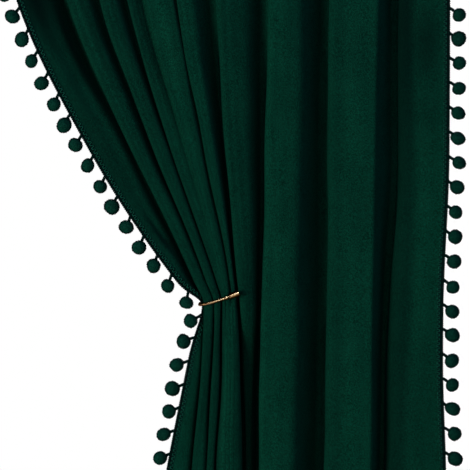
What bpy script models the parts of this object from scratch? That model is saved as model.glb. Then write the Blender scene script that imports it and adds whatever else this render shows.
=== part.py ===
"""A velvet drape drawn back into a brass holdback hook, with pom-pom trim down both side edges.

Metres, +Z up.  The origin is the middle of the drape's top edge.  The face of the cloth looks
along -Y.  The leading edge, which the hook draws back, is at -X and the trailing edge at +X.
The tables are in millimetres: x from the middle of the top edge, drop down from it, and back
towards the wall from the front plane of the folds.
"""

import math

import bmesh
import bpy
import numpy as np
from mathutils import Vector

MM = 0.001

# The cut panel, in mm
PANEL_DROP = 1600.0
CLOTH_THICKNESS = 2.0
FRONT_PLANE_Y = -30.0

# Fold shape, in mm
NARROWEST_FLOOR = 4.5
FLOOR_ROUNDING = 24.0
ROUNDING_SHARE = 0.45
SHALLOWEST_FOLD = 0.02
WIDE_FOLDS = np.array((0, 6, 7, 8, 9))

# A row for each fold, leading edge first.  left_round and right_round are how far the face's two
# shoulders are rounded.  The valley after the fold has a floor of the spread given, as a share of its
# mouth, and lean is the share of the spare width that falls on the valley's left leg.
FOLD_COLUMNS = ("fold", "left_round", "right_round", "spread", "lean")
FOLDS = (
    ("leading", 0, 15, 0.3, 1.0),
    ("first", 10, 14, 0.4, 1.0),
    ("second", 8, 12, 0.4, 1.0),
    ("third", 7, 10, 0.4, 0.8),
    ("fourth", 8, 8, 0.5, 0.6),
    ("fifth", 6, 20, 0.3, 1.0),
    ("sixth", 12, 24, 0.4, 1.0),
    ("seventh", 14, 14, 0.35, 1.2),
    ("eighth", 20, 6, 0.35, 1.15),
    ("trailing", 34, 0, 0.0, 0.0),
)

# Height of each cross-section that the tables below describe, as a drop below the top edge, in mm
SECTIONS = ("heading", "upper", "middle", "gather", "hook", "below", "lower", "hem")
SECTION_DROPS = np.array((0.0, 510.0, 788.0, 1029.0, 1074.0, 1177.0, 1380.0, 1600.0))
SECTION_COLUMNS = ("fold", *SECTIONS)

# Where each fold's face starts across the drape, at each section
FACE_STARTS = (
    ("leading", -461, -330, -194.5, -34, 8.6, -12, -52, -88),
    ("first", -367, -243, -123.5, -7, 13.5, 8.3, -12.4, -24),
    ("second", -286, -181, -81.5, 15.5, 31, 28.2, 15.7, 8),
    ("third", -222, -130, -49.5, 34, 45.5, 45, 34.5, 32),
    ("fourth", -165, -96, -20, 46, 54.5, 55, 50, 52),
    ("fifth", -92, -40.5, 11.3, 59.5, 64.5, 66, 64, 70),
    ("sixth", 5, 34.5, 50.5, 73.5, 79, 84, 89, 94),
    ("seventh", 134, 131.5, 125, 120.5, 119, 116, 113, 110),
    ("eighth", 252, 242.5, 240, 238.5, 238, 236.5, 233.5, 231.5),
    ("trailing", 379, 373, 373, 361, 358, 353, 349, 350),
)

# How wide each face is
FACE_WIDTHS = (
    ("leading", 59, 55, 57.5, 15, 0.2, 16.2, 37.5, 51),
    ("first", 38, 41, 32.5, 19.2, 13.1, 16.5, 23.9, 27.2),
    ("second", 31, 32, 28.7, 13.5, 10.4, 12.6, 13.3, 18),
    ("third", 21, 19, 21.5, 7.4, 4.5, 4.5, 8.5, 12),
    ("fourth", 46, 51.5, 27.5, 9, 5, 5, 7, 10),
    ("fifth", 30, 30, 22.2, 6.3, 5.7, 10, 16, 15.5),
    ("sixth", 56, 56.5, 49.5, 32.5, 27, 19, 9, 4),
    ("seventh", 57, 60, 61.5, 63.5, 65, 66, 64, 65),
    ("eighth", 84.5, 89.5, 88, 85, 84.5, 86, 87, 88),
    ("trailing", 81, 87, 86, 88, 89.5, 94, 103.5, 106),
)

# Length of cloth from the middle of each fold's face to the middle of the next.  The first row counts
# from the leading edge itself and the last to the trailing edge itself.
VALLEY_CLOTH = (
    ("leading", 169.5, 188, 141, 122.5, 120.5, 120, 128.5, 130.5),
    ("first", 110, 115.5, 114, 118, 119.5, 120, 122, 124),
    ("second", 98.5, 103.5, 107, 121, 125, 124.5, 120.5, 124),
    ("third", 86.6, 67.6, 39.6, 12.9, 9.4, 11.6, 15.9, 19.9),
    ("fourth", 75, 70.7, 68.1, 51.1, 11.2, 14.2, 19.4, 22),
    ("fifth", 154.5, 158.5, 186.5, 202, 221.5, 202, 186, 178),
    ("sixth", 183.5, 178, 198, 205.5, 216.5, 212, 208.5, 208.5),
    ("seventh", 231.6, 227.4, 239.7, 244.5, 246.9, 257.3, 261.2, 260.2),
    ("eighth", 250.8, 250.8, 266.1, 282.5, 289.5, 298.4, 298, 292.9),
)

# How far the start of each face lies behind the front plane
START_SETBACKS = (
    ("leading", 0, 0, 0, 2, 15, 6, 4, 4),
    ("first", 4, 2, 0, 2, 5, 1, 0, 0),
    ("second", 0, 2, 1, 1, 0, 0, 2, 3),
    ("third", 8, 4, 4, 3, 1, 8, 9, 9),
    ("fourth", 4, 3, 0, 2, 2, 2, 1.6, 1.6),
    ("fifth", 5, 2, 1, 4, 4, 0.8, 0.6, 0.8),
    ("sixth", 0, 0, 0, 2, 3, 30, 48, 46),
    ("seventh", 4, 2, 0, 0, 0, 0, 0, 0),
    ("eighth", 4, 7, 6, 6, 6, 5, 5, 6),
    ("trailing", 8, 18, 20, 18, 18, 20, 20, 18),
)

# How far the end of each face lies behind the front plane
END_SETBACKS = (
    ("leading", 20, 24, 14, 8, 22, 8, 7, 7),
    ("first", 6, 9, 6, 5, 2, 4, 4, 4),
    ("second", 7, 8, 6, 3, 2, 3, 3, 4),
    ("third", 12, 12, 6, 2, 1, 5, 4, 4),
    ("fourth", 2, 3, 2, 3, 3, 0.8, 0.6, 0.8),
    ("fifth", 5, 2, 2, 5, 6, 6, 8, 10),
    ("sixth", 4, 14, 14, 13, 12, 34, 50, 48),
    ("seventh", 2, 3, 3, 3, 3, 3, 3, 3),
    ("eighth", 4, 0, 0, 0, 0, 0, 0, 0),
    ("trailing", 6, 2, 2, 2, 2, 3, 2, 4),
)

# Rows of the sheet's mesh: drops down to the one below the hook, in mm, and then shares of the rest
ROW_DROPS = np.array((0, 510, 690, 850, 960, 1028, 1044, 1057, 1070, 1078, 1092, 1125, 1180), dtype=float)
ROW_SHARES = np.array((0.45, 1.0))
CORNER_STEPS = (0.1, 0.9)
FINE_DROP = 2.0

# Pom-pom trim, in mm.  After number caught_after the hook takes up the length caught, so that the
# next ball hangs that much further down.
TAPE_WIDTH = 6.0
TAPE_THICKNESS = 2.0
SEAM_GAP = 0.3
STEM_THICKNESS = 4.6
POM_RADIUS = 13.4
POM_OUT = 17.0
POM_DOWN = 12.0
POM_UNEVENNESS = 1.6
SIZE_UNEVENNESS = 0.5
HANG_LEAN = 0.3
LEADING_TRIM = {"first": 15.6, "pitch": 43.7, "count": 36, "caught_after": 26, "caught": 15.5, "seed": 3}
TRAILING_TRIM = {"first": 22.0, "pitch": 45.7, "count": 35, "caught_after": 0, "caught": 0.0, "seed": 8}

# A ball's rings of six: how far along its axis each lies and how wide it is, as shares of its radius
BALL_RINGS = ((-0.99, 0.12), (-0.62, 0.8), (0.0, 1.0), (0.62, 0.8))
RING_ANGLES = np.radians((150.0, 90.0, 30.0, -30.0, -90.0, -150.0))

# Holdback hook, in mm
ROD_RADIUS = 3.0
HOOK_GAP = 0.4
BEND_X = 3.0
BEND_DROP = 1074.0
BEND_RADIUS = 16.0
POST_BEND_RADIUS = 12.0
BACK_LEG_BACK = 80.0
POST_X = 45.0
ARM_END_X = 57.0
ARM_POINTS = 8
BEND_STEPS = 8
ARM_REACH = 74.0
ARM_RISE = 23.0
ARM_CURVE = 1.36
WALL_Y = 95.0
PLATE_RADIUS = 25.0
PLATE_THICKNESS = 4.0
PLATE_BEVEL = 1.2
COLLAR_X = 52.5
COLLAR_RADIUS = 4.6
COLLAR_LENGTH = 3.2
COLLAR_EDGE = 0.6
FINIAL_RADIUS = 5.5
FINIAL_LENGTH = 20.0
FINIAL_EDGE = 0.9
PART_GAP = 0.3
MERGE_DISTANCE = 0.01


def clear_scene():
    """Removes whatever the file opened with."""
    for obj in list(bpy.data.objects):
        bpy.data.objects.remove(obj, do_unlink=True)


def finish_material(name, color, roughness, metallic):
    """A Principled material of one plain colour."""
    material = bpy.data.materials.new(name)
    material.use_nodes = True
    shader = material.node_tree.nodes["Principled BSDF"]
    shader.inputs["Base Color"].default_value = (*color, 1.0)
    shader.inputs["Roughness"].default_value = roughness
    shader.inputs["Metallic"].default_value = metallic
    return material


def add_object(name, mesh, material, smooth_below=40.0):
    """Puts a mesh into the scene, shaded smooth except across edges sharper than the given angle."""
    mesh.materials.append(material)
    mesh.shade_smooth()
    mesh.set_sharp_from_angle(angle=math.radians(smooth_below))
    obj = bpy.data.objects.new(name, mesh)
    bpy.context.scene.collection.objects.link(obj)
    return obj


def table_column(table, columns, names):
    """The named columns of a table as one array, a row for each of its rows."""
    picks = [columns.index(name) for name in names]
    return np.array([[row[pick] for pick in picks] for row in table], dtype=float)


def between_sections(values, drops):
    """Carries section values (rows, sections) smoothly down the drape to (rows, drops).

    A cubic runs between each two sections.  Its slope at a section is the harmonic mean of the
    slopes on the two sides, and level where they point opposite ways, so nothing overshoots.
    """
    spans = np.diff(SECTION_DROPS)
    slopes = np.diff(values, axis=1) / spans
    above, below = slopes[:, :-1], slopes[:, 1:]
    agree = above * below > 0
    mean = 2 * above * below / np.where(agree, above + below, 1.0)
    slope_at = np.hstack([slopes[:, :1], np.where(agree, mean, 0.0), slopes[:, -1:]])
    k = np.clip(np.searchsorted(SECTION_DROPS, drops, side="right") - 1, 0, len(spans) - 1)
    s = (drops - SECTION_DROPS[k]) / spans[k]
    start = (1 + 2 * s) * (1 - s) ** 2 * values[:, k] + s * (1 - s) ** 2 * spans[k] * slope_at[:, k]
    end = s**2 * (3 - 2 * s) * values[:, k + 1] - s**2 * (1 - s) * spans[k] * slope_at[:, k + 1]
    return start + end


def section_corners(drops):
    """Corners (drops, corners, 2) of the cross-section at each drop, as x and back.

    Each face has two shoulders, and each valley a floor behind its mouth.  The floor lies as deep
    as the cloth lets it: the floor and its two legs are as long as the cloth that the faces leave.
    """
    starts = table_column(FACE_STARTS, SECTION_COLUMNS, SECTIONS)
    widths = table_column(FACE_WIDTHS, SECTION_COLUMNS, SECTIONS)
    left = between_sections(starts, drops)
    right = between_sections(starts + widths, drops)
    left_back = between_sections(table_column(START_SETBACKS, SECTION_COLUMNS, SECTIONS), drops)
    right_back = between_sections(table_column(END_SETBACKS, SECTION_COLUMNS, SECTIONS), drops)
    cloth = between_sections(table_column(VALLEY_CLOTH, SECTION_COLUMNS, SECTIONS), drops)
    valleys = table_column(FOLDS, FOLD_COLUMNS, ("spread", "lean"))[:-1]
    spread, lean = valleys.T[:, :, None]

    half_face = np.hypot(right - left, right_back - left_back) / 2
    half_face[[0, -1]] *= 2
    mouth = left[1:] - right[:-1]
    spare = cloth - half_face[:-1] - half_face[1:] - mouth
    floor = np.maximum(mouth * spread, np.minimum(NARROWEST_FLOOR, spare))
    legs = cloth - half_face[:-1] - half_face[1:] - floor
    left_run = (mouth - floor) * lean
    right_run = (mouth - floor) * (1 - lean)
    back, rise = right_back[:-1], left_back[1:] - right_back[:-1]
    legs = np.maximum(legs, np.hypot(mouth - floor, rise) + SHALLOWEST_FOLD)
    slope = rise / legs
    even = (legs**2 + left_run**2 - right_run**2 - rise * (2 * back + rise)) / (2 * legs)
    middle = back + even * slope
    reach = middle**2 - (1 - slope**2) * (left_run**2 + back**2 - even**2)
    floor_back = (middle + np.sqrt(np.maximum(reach, 0.0))) / (1 - slope**2)

    shoulders = np.stack([np.stack([left, left_back], -1), np.stack([right, right_back], -1)], 1)
    floor_x = right[:-1] + left_run
    floors = np.stack([np.stack([floor_x, floor_back], -1), np.stack([floor_x + floor, floor_back], -1)], 1)
    folds = np.concatenate([shoulders[:-1], floors], axis=1).reshape(-1, len(drops), 2)
    return np.concatenate([folds, shoulders[-1]]).transpose(1, 0, 2)


def largest_roundings():
    """How far each inner corner of a section may be rounded: two shoulders a fold, then its floor's two."""
    shoulders = table_column(FOLDS, FOLD_COLUMNS, ("left_round", "right_round"))
    floors = np.full_like(shoulders, FLOOR_ROUNDING)
    return np.hstack([shoulders, floors]).reshape(-1)[1:-3]


def rounded_columns(corners):
    """Points (drops, columns, 2) along each section, with its corners rounded.

    At each corner a quadratic curve leaves the run before it and joins the run after it, both at
    the same distance from the corner.  The wide folds have one more column, down the middle.
    """
    runs = np.diff(corners, axis=1)
    lengths = np.linalg.norm(runs, axis=2, keepdims=True)
    ways = runs / lengths
    shorter = np.minimum(lengths[:, :-1], lengths[:, 1:])
    reach = np.minimum(shorter * ROUNDING_SHARE, largest_roundings()[:, None])
    inner = corners[:, 1:-1]
    before, after = inner - reach * ways[:, :-1], inner + reach * ways[:, 1:]
    curve = [(1 - s) ** 2 * before + 2 * s * (1 - s) * inner + s**2 * after for s in CORNER_STEPS]
    curve = np.stack(curve, axis=2).reshape(len(corners), -1, 2)
    columns = np.concatenate([corners[:, :1], curve, corners[:, -1:]], axis=1)
    middles = (corners[:, 0::4] + corners[:, 1::4])[:, WIDE_FOLDS] / 2
    columns_in_fold = 4 * len(CORNER_STEPS)
    return np.insert(columns, 1 + columns_in_fold * WIDE_FOLDS, middles, axis=1)


def drape_grid():
    """Grid (rows, columns, 3) of the middle of the sheet, in mm.

    Down to the section below the hook the rows are level.  From there each thread runs on until it
    has used up the panel's drop, so the hem rises where the threads are drawn aside.
    """
    fine_drops = np.arange(0.0, SECTION_DROPS[-1] + FINE_DROP / 2, FINE_DROP)
    threads = rounded_columns(section_corners(fine_drops))
    steps = np.sqrt(FINE_DROP**2 + np.sum(np.diff(threads, axis=0) ** 2, axis=2))
    used = np.vstack([np.zeros(steps.shape[1]), np.cumsum(steps, axis=0)])
    level = int(ROW_DROPS[-1] // FINE_DROP)
    stretch = (used[-1] - used[level]) / (fine_drops[-1] - fine_drops[level])
    hem_drop = fine_drops[level] + (PANEL_DROP - used[level]) / stretch
    upper = np.repeat(ROW_DROPS[:, None], threads.shape[1], axis=1)
    lower = ROW_DROPS[-1] + ROW_SHARES[:, None] * (hem_drop - ROW_DROPS[-1])
    drops = np.vstack([upper, lower])
    k = np.minimum((drops / FINE_DROP).astype(int), len(fine_drops) - 2)
    s = (drops / FINE_DROP - k)[:, :, None]
    column = np.arange(threads.shape[1])[None, :]
    plan = (1 - s) * threads[k, column] + s * threads[k + 1, column]
    return np.dstack([plan[:, :, 0], FRONT_PLANE_Y + plan[:, :, 1], -drops])


def unit(vectors):
    """Vectors scaled to length one."""
    return vectors / np.linalg.norm(vectors, axis=-1, keepdims=True)


def mean_way(points, axis):
    """Direction of the runs along one axis of a grid, at each point the mean of the two that meet there."""
    runs = unit(np.diff(points, axis=axis))
    first, last = np.take(runs, [0], axis=axis), np.take(runs, [-1], axis=axis)
    return unit(np.concatenate([first, runs], axis=axis) + np.concatenate([runs, last], axis=axis))


def make_drape(grid, material):
    """The panel as one closed sheet: the grid moved out to its face and to its back, and a rim between."""
    normals = unit(np.cross(mean_way(grid, 0), mean_way(grid, 1)))
    normals[0, :, 2] = 0.0
    half = unit(normals) * CLOTH_THICKNESS / 2
    points = np.concatenate([(grid + half).reshape(-1, 3), (grid - half).reshape(-1, 3)]) * MM
    rows, columns = grid.shape[:2]
    face = np.arange(rows * columns).reshape(rows, columns)
    back = face + rows * columns
    quads = [
        np.stack([face[:-1, :-1], face[1:, :-1], face[1:, 1:], face[:-1, 1:]], axis=-1).reshape(-1, 4),
        np.stack([back[:-1, :-1], back[:-1, 1:], back[1:, 1:], back[1:, :-1]], axis=-1).reshape(-1, 4),
    ]
    round_rim = np.concatenate([face[:-1, 0], face[-1, :-1], face[:0:-1, -1], face[0, :0:-1]])
    following = np.roll(round_rim, -1)
    offset = rows * columns
    quads.append(np.stack([round_rim, round_rim + offset, following + offset, following], axis=-1))
    mesh = bpy.data.meshes.new("drape")
    mesh.from_pydata(points.tolist(), [], np.concatenate(quads).tolist())
    return add_object("drape", mesh, material, smooth_below=60.0)


def edge_frames(edge, inner, side):
    """Directions along an edge of the sheet, at each of its rows: along, out of the cloth, across, hang.

    hang is the way that the pom-poms stand out: side, an x direction, which the cloth's own edge
    may turn from, leaning a little the way the cloth turns.
    """
    along = mean_way(edge, 0)
    out = edge - inner
    out = unit(out - np.sum(out * along, axis=1, keepdims=True) * along)
    hang = np.array((side, 0.0, 0.0)) + HANG_LEAN * out
    hang = unit(hang - np.sum(hang * along, axis=1, keepdims=True) * along)
    return along, out, unit(np.cross(along, out)), hang


def join_rings(bm, ring_a, ring_b):
    """Faces all round between two rings of the same length."""
    following_a, following_b = ring_a[1:] + ring_a[:1], ring_b[1:] + ring_b[:1]
    for corners in zip(ring_a, following_a, following_b, ring_b):
        bm.faces.new(corners)


def add_ball(bm, root_ring, centre, radius, way, upward, sideways):
    """Rings of six carry the stem from its root out along way to a ball, which closes in a point."""
    previous = root_ring
    for reach, size in BALL_RINGS:
        middle = centre + way * radius * reach
        ring = []
        for angle in RING_ANGLES:
            spoke = upward * math.cos(angle) + sideways * math.sin(angle)
            ring.append(bm.verts.new((middle + spoke * radius * size) * MM))
        join_rings(bm, previous, ring)
        previous = ring
    tip = bm.verts.new((centre + way * radius) * MM)
    for corner, following in zip(previous, previous[1:] + previous[:1]):
        bm.faces.new((corner, following, tip))


def make_fringe(name, edge, inner, side, trim, material):
    """Pom-pom trim as one comb: a tape beside the edge, and a stem and a ball at each pitch.

    The tape runs through cross-sections of four corners.  Its outer side has six points where a
    stem starts, which are the first ring of the stem.
    """
    along, out, across, hang = edge_frames(edge, inner, side)
    row_at = np.concatenate([[0.0], np.cumsum(np.linalg.norm(np.diff(edge, axis=0), axis=1))])
    numbers = np.arange(trim["count"])
    roots = trim["first"] + trim["pitch"] * numbers + trim["caught"] * (numbers > trim["caught_after"])
    half_stem = STEM_THICKNESS / 2
    rng = np.random.default_rng(trim["seed"])
    uneven = rng.uniform(-1.0, 1.0, (trim["count"], 4)) * POM_UNEVENNESS
    bm = bmesh.new()

    def at(values, distance):
        """A row value read at a distance along the edge."""
        return np.array([np.interp(distance, row_at, values[:, axis]) for axis in range(3)])

    def tape_point(distance, reach, lift):
        """A point of the tape: reach 0 beside the cloth, 1 at its outer side; lift 1 in front, -1 behind."""
        outward = at(out, distance) * (SEAM_GAP + reach * TAPE_WIDTH)
        forward = at(across, distance) * lift * TAPE_THICKNESS / 2
        return bm.verts.new((at(edge, distance) + outward + forward) * MM)

    def tape_ring(distance):
        """The tape's four corners at a distance: inner front, outer front, outer rear, inner rear."""
        return [tape_point(distance, reach, lift) for reach, lift in ((0, 1), (1, 1), (1, -1), (0, -1))]

    def tape_on(ring, stops):
        """Carries the tape on from a ring through plain cross-sections, and gives back the last of them."""
        for distance in stops:
            following = tape_ring(distance)
            join_rings(bm, ring, following)
            ring = following
        return ring

    def stem_and_ball(root_ring, distance, shift):
        """The stem and the ball that start from the tape at a distance, moved by their unevenness."""
        start = at(edge, distance) + at(out, distance) * (SEAM_GAP + TAPE_WIDTH)
        outward, down = unit(at(hang, distance)), at(along, distance)
        radius = POM_RADIUS + shift[0] * SIZE_UNEVENNESS
        centre = start + outward * (POM_OUT + shift[1]) + down * (POM_DOWN + shift[2])
        centre = centre + np.cross(outward, down) * shift[3]
        way = unit(centre - start)
        upward = unit(np.cross(at(across, distance), way))
        upward = upward * np.sign(np.dot(upward, down))
        sideways = np.cross(way, upward)
        sideways = sideways * np.sign(np.dot(sideways, at(across, distance)))
        add_ball(bm, root_ring, centre, radius, way, upward, sideways)

    ring = tape_ring(0.0)
    bm.faces.new(reversed(ring))
    passed = 0.0
    for root, shift in zip(roots, uneven):
        rows_between = row_at[(row_at > passed + half_stem) & (row_at < root - 2 * half_stem)]
        ring = tape_on(ring, [*rows_between, root - half_stem])
        following = tape_ring(root + half_stem)
        middle = [tape_point(root, 1, lift) for lift in (1, -1)]
        bm.faces.new((ring[0], ring[1], middle[0], following[1], following[0]))
        bm.faces.new((ring[2], ring[3], following[3], following[2], middle[1]))
        bm.faces.new((ring[3], ring[0], following[0], following[3]))
        root_ring = [ring[1], middle[0], following[1], following[2], middle[1], ring[2]]
        stem_and_ball(root_ring, root, shift)
        ring = following
        passed = root + half_stem
    rows_left = row_at[(row_at > passed + half_stem) & (row_at < row_at[-1] - half_stem)]
    ring = tape_on(ring, [*rows_left, row_at[-1]])
    bm.faces.new(ring)
    bmesh.ops.recalc_face_normals(bm, faces=bm.faces)
    mesh = bpy.data.meshes.new(name)
    bm.to_mesh(mesh)
    bm.free()
    return add_object(name, mesh, material, smooth_below=75.0)


def arm_height(x):
    """Drop of the front arm at x: it climbs from the bend ever more steeply towards the finial."""
    return BEND_DROP - ARM_RISE * (max(x - BEND_X, 0.0) / ARM_REACH) ** ARM_CURVE


def arm_direction(x):
    """Direction of the front arm at x."""
    step = 0.5
    return Vector((2 * step, 0.0, arm_height(x - step) - arm_height(x + step))).normalized()


def quarter_turn(centre, radius, start_angle, end_angle):
    """Points of a bend seen from above, from one angle to the other."""
    for angle in np.radians(np.linspace(start_angle, end_angle, BEND_STEPS + 1)):
        yield centre[0] + radius * math.cos(angle), centre[1] + radius * math.sin(angle)


def hook_levels():
    """y of the front arm and of the back leg: each stands just clear of the gathered cloth."""
    front = FRONT_PLANE_Y - CLOTH_THICKNESS / 2 - HOOK_GAP - ROD_RADIUS
    return front, FRONT_PLANE_Y + BACK_LEG_BACK


def make_rod(material):
    """The hook's bent rod: front arm, U bend behind the leading edge, back leg, and post to the wall."""
    front, back = hook_levels()
    turn = BEND_X + BEND_RADIUS
    plan = [(x, front) for x in np.linspace(ARM_END_X, turn, ARM_POINTS, endpoint=False)]
    plan += quarter_turn((turn, front + BEND_RADIUS), BEND_RADIUS, 270, 180)
    plan += quarter_turn((turn, back - BEND_RADIUS), BEND_RADIUS, 180, 90)
    plan += quarter_turn((POST_X - POST_BEND_RADIUS, back + POST_BEND_RADIUS), POST_BEND_RADIUS, 270, 360)
    plan.append((POST_X, WALL_Y - PLATE_THICKNESS - PART_GAP))
    curve = bpy.data.curves.new("holdback_rod", "CURVE")
    curve.dimensions = "3D"
    curve.bevel_depth = ROD_RADIUS * MM
    curve.bevel_resolution = 4
    curve.use_fill_caps = True
    spline = curve.splines.new("POLY")
    spline.points.add(len(plan) - 1)
    for point, (x, y) in zip(spline.points, plan):
        drop = arm_height(x) if y < front + BEND_RADIUS / 2 else BEND_DROP
        point.co = (x * MM, y * MM, -drop * MM, 1.0)
    spline.use_smooth = True
    curve.materials.append(material)
    rod = bpy.data.objects.new("holdback_rod", curve)
    bpy.context.scene.collection.objects.link(rod)
    return rod


def turned_mesh(name, profile, axis_point, axis, sides=24):
    """A turned solid: a profile of (along, radius) points, in mm, spun about an axis.

    A profile whose ends have radius 0 is closed on the axis; one with no such ends makes a ring.
    """
    bm = bmesh.new()
    points = [bm.verts.new((radius * MM, 0.0, along * MM)) for along, radius in profile]
    edges = [bm.edges.new(pair) for pair in zip(points, points[1:])]
    if profile[0][1] > 0:
        edges.append(bm.edges.new((points[-1], points[0])))
    turn = {"cent": (0, 0, 0), "axis": (0, 0, 1), "angle": 2 * math.pi}
    bmesh.ops.spin(bm, geom=[*points, *edges], steps=sides, use_merge=True, **turn)
    bmesh.ops.remove_doubles(bm, verts=bm.verts, dist=MERGE_DISTANCE * MM)
    bmesh.ops.recalc_face_normals(bm, faces=bm.faces)
    bmesh.ops.rotate(bm, verts=bm.verts, cent=(0, 0, 0), matrix=axis.to_track_quat("Z", "X").to_matrix())
    bmesh.ops.translate(bm, verts=bm.verts, vec=axis_point)
    mesh = bpy.data.meshes.new(name)
    bm.to_mesh(mesh)
    bm.free()
    return mesh


def make_collar(material):
    """Turned ring round the front arm, just before the finial."""
    bore = ROD_RADIUS + PART_GAP
    half = COLLAR_LENGTH / 2
    profile = (
        (-half, bore),
        (-half, COLLAR_RADIUS - COLLAR_EDGE),
        (-half + COLLAR_EDGE, COLLAR_RADIUS),
        (half - COLLAR_EDGE, COLLAR_RADIUS),
        (half, COLLAR_RADIUS - COLLAR_EDGE),
        (half, bore),
    )
    place = Vector((COLLAR_X, hook_levels()[0], -arm_height(COLLAR_X))) * MM
    mesh = turned_mesh("holdback_collar", profile, place, arm_direction(COLLAR_X))
    return add_object("holdback_collar", mesh, material)


def make_finial(material):
    """Plain cylinder that ends the front arm, with eased edges."""
    way = arm_direction(ARM_END_X)
    place = (Vector((ARM_END_X, hook_levels()[0], -arm_height(ARM_END_X))) + way * PART_GAP) * MM
    profile = (
        (0.0, 0.0),
        (0.0, ROD_RADIUS + FINIAL_EDGE),
        (FINIAL_EDGE, FINIAL_RADIUS),
        (FINIAL_LENGTH - FINIAL_EDGE, FINIAL_RADIUS),
        (FINIAL_LENGTH, FINIAL_RADIUS - FINIAL_EDGE),
        (FINIAL_LENGTH, 0.0),
    )
    return add_object("holdback_finial", turned_mesh("holdback_finial", profile, place, way), material)


def make_plate(material):
    """Round wall plate, flat against the wall behind the gathered cloth."""
    front = WALL_Y - PLATE_THICKNESS
    profile = (
        (0.0, 0.0),
        (0.0, PLATE_RADIUS - PLATE_BEVEL),
        (PLATE_BEVEL, PLATE_RADIUS),
        (PLATE_THICKNESS, PLATE_RADIUS),
        (PLATE_THICKNESS, 0.0),
    )
    place = Vector((POST_X, front, -BEND_DROP)) * MM
    mesh = turned_mesh("holdback_plate", profile, place, Vector((0.0, 1.0, 0.0)), sides=36)
    return add_object("holdback_plate", mesh, material)


def build():
    """Makes every piece of the drape and of its hook."""
    clear_scene()
    velvet = finish_material("green_velvet", (0.004, 0.050, 0.032), 0.9, 0.0)
    yarn = finish_material("green_yarn", (0.008, 0.070, 0.046), 0.85, 0.0)
    brass = finish_material("antique_brass", (0.72, 0.47, 0.17), 0.28, 1.0)
    grid = drape_grid()
    make_drape(grid, velvet)
    make_fringe("fringe_leading", grid[:, 0], grid[:, 1], -1.0, LEADING_TRIM, yarn)
    make_fringe("fringe_trailing", grid[:, -1], grid[:, -2], 1.0, TRAILING_TRIM, yarn)
    make_rod(brass)
    make_collar(brass)
    make_finial(brass)
    make_plate(brass)


build()
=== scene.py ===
"""A velvet drape drawn back into a brass holdback hook, with pom-pom trim down both side edges.

Sizes are in millimetres here and become metres as each mesh is made.  x runs across the drape from
the middle of its top edge, back runs towards the wall from the front plane of the folds, and drop
runs down from the top edge.  Every shape is a function of two parameters worked out on a grid.
"""

import math

import bpy
import numpy as np
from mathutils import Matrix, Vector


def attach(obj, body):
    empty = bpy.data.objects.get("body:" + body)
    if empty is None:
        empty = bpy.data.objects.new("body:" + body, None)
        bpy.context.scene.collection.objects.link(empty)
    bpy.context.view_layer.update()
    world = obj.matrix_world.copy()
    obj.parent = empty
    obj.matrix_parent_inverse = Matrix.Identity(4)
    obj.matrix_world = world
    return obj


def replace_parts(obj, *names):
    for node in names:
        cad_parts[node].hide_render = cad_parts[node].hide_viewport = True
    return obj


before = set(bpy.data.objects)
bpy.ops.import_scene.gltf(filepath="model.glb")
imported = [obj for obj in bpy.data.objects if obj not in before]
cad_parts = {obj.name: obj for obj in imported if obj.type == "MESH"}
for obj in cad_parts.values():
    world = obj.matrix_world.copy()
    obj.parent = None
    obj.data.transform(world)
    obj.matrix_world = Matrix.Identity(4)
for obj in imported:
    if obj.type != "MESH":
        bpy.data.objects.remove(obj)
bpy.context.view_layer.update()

MM = 0.001

# The cut panel
PANEL_DROP = 1600.0
CLOTH_THICKNESS = 1.3
FRONT_PLANE_Y = -30.0

# Fold shape
NARROWEST_FLOOR = 4.5
FLOOR_ROUNDING = 24.0
ROUNDING_SHARE = 0.45
SHALLOWEST_FOLD = 0.02
CROWN_SHARE = 0.055
NARROW_FACE = 15.0
MOST_CROWN = 2.2

# A section runs through this many stretches for each fold: its face, two legs, a floor and four corners
STRETCHES_A_FOLD = 8

# A row for each fold, leading edge first.  left_round and right_round are how far the face's two
# shoulders are rounded.  The valley after the fold has a floor of the spread given, as a share of its
# mouth, and lean is the share of the spare width that falls on the valley's left leg.  columns is how
# many columns of the grid the face takes.
FOLD_COLUMNS = ("fold", "left_round", "right_round", "spread", "lean", "columns")
FOLDS = (
    ("leading", 0, 15, 0.3, 1.0, 10),
    ("first", 10, 14, 0.4, 1.0, 5),
    ("second", 8, 12, 0.4, 1.0, 5),
    ("third", 7, 10, 0.4, 0.8, 4),
    ("fourth", 8, 8, 0.5, 0.6, 5),
    ("fifth", 6, 20, 0.3, 1.0, 4),
    ("sixth", 12, 24, 0.4, 1.0, 7),
    ("seventh", 14, 14, 0.35, 1.2, 9),
    ("eighth", 20, 6, 0.35, 1.15, 10),
    ("trailing", 34, 0, 0.0, 0.0, 11),
)

FOLD_NAMES = [row[0] for row in FOLDS]

# Height of each cross-section that the tables below describe, as a drop below the top edge
SECTIONS = ("heading", "upper", "middle", "gather", "hook", "below", "lower", "hem")
SECTION_DROPS = np.array((0.0, 510.0, 788.0, 1029.0, 1074.0, 1177.0, 1380.0, 1600.0))
SECTION_COLUMNS = ("fold", *SECTIONS)

# Where each fold's face starts across the drape, at each section
FACE_STARTS = (
    ("leading", -461, -330, -194.5, -34, 8.6, -12, -52, -88),
    ("first", -367, -243, -123.5, -7, 13.5, 8.3, -12.4, -24),
    ("second", -286, -181, -81.5, 15.5, 31, 28.2, 15.7, 8),
    ("third", -222, -130, -49.5, 34, 45.5, 45, 34.5, 32),
    ("fourth", -165, -96, -20, 46, 54.5, 55, 50, 52),
    ("fifth", -92, -40.5, 11.3, 59.5, 64.5, 66, 64, 70),
    ("sixth", 5, 34.5, 50.5, 73.5, 79, 84, 89, 94),
    ("seventh", 134, 131.5, 125, 120.5, 119, 116, 113, 110),
    ("eighth", 252, 242.5, 240, 238.5, 238, 236.5, 233.5, 231.5),
    ("trailing", 379, 373, 373, 361, 358, 353, 349, 350),
)

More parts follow.
